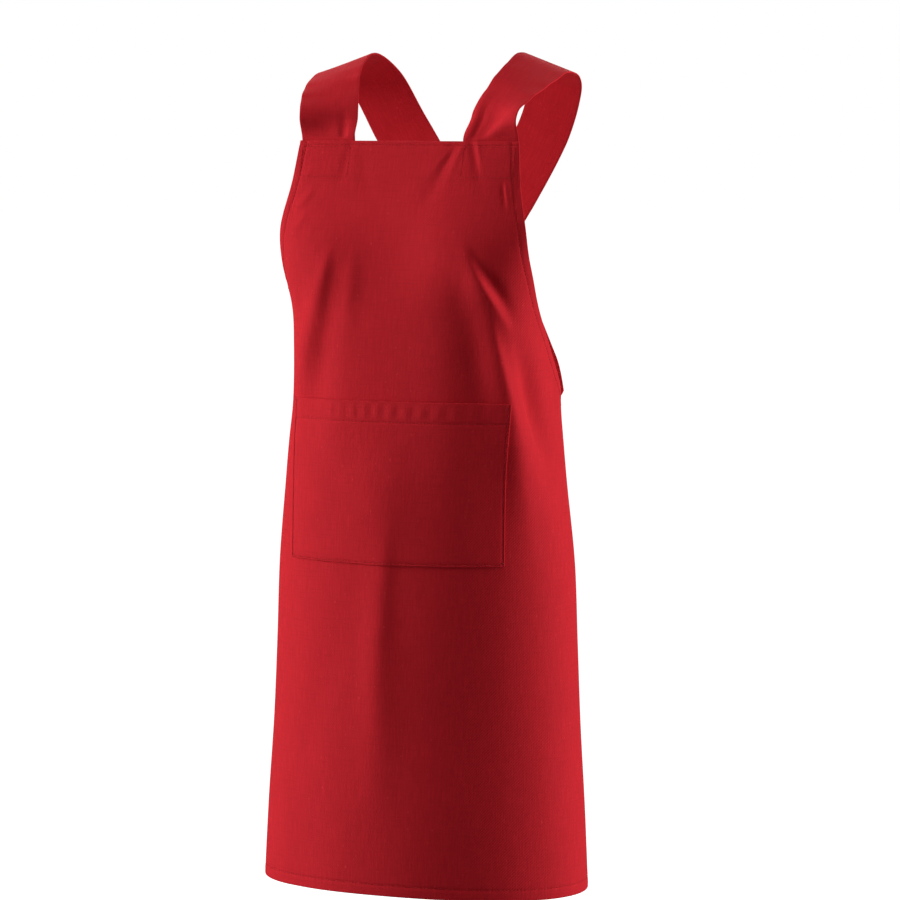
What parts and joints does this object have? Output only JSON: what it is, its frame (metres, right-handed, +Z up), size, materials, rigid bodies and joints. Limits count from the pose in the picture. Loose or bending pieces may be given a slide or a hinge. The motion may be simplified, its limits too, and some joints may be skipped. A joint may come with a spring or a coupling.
{
  "type": "cross back apron",
  "caption": "Cross back work apron in plain twill with a square bib, a broad patch pocket and wide shoulder straps that cross behind.",
  "frame": {"origin": "midway between the two straps, at the height where they bear on the wearer's shoulders", "axes": "+Z up, -Y the way the wearer faces, +X the wearer's left"},
  "size_m": [0.3372, 0.2445, 0.8247],
  "materials": {
    "twill": "plain red cotton twill, matt"
  },
  "bodies": {
    "root": {"bib_and_skirt": "twill", "bib_top_hem": "twill", "skirt_hem": "twill", "pocket": "twill", "pocket_mouth_hem": "twill", "left_armhole_hem": "twill", "right_armhole_hem": "twill", "left_back_hem": "twill", "right_back_hem": "twill", "left_strap": "twill", "right_strap": "twill"}
  },
  "joints": []
}
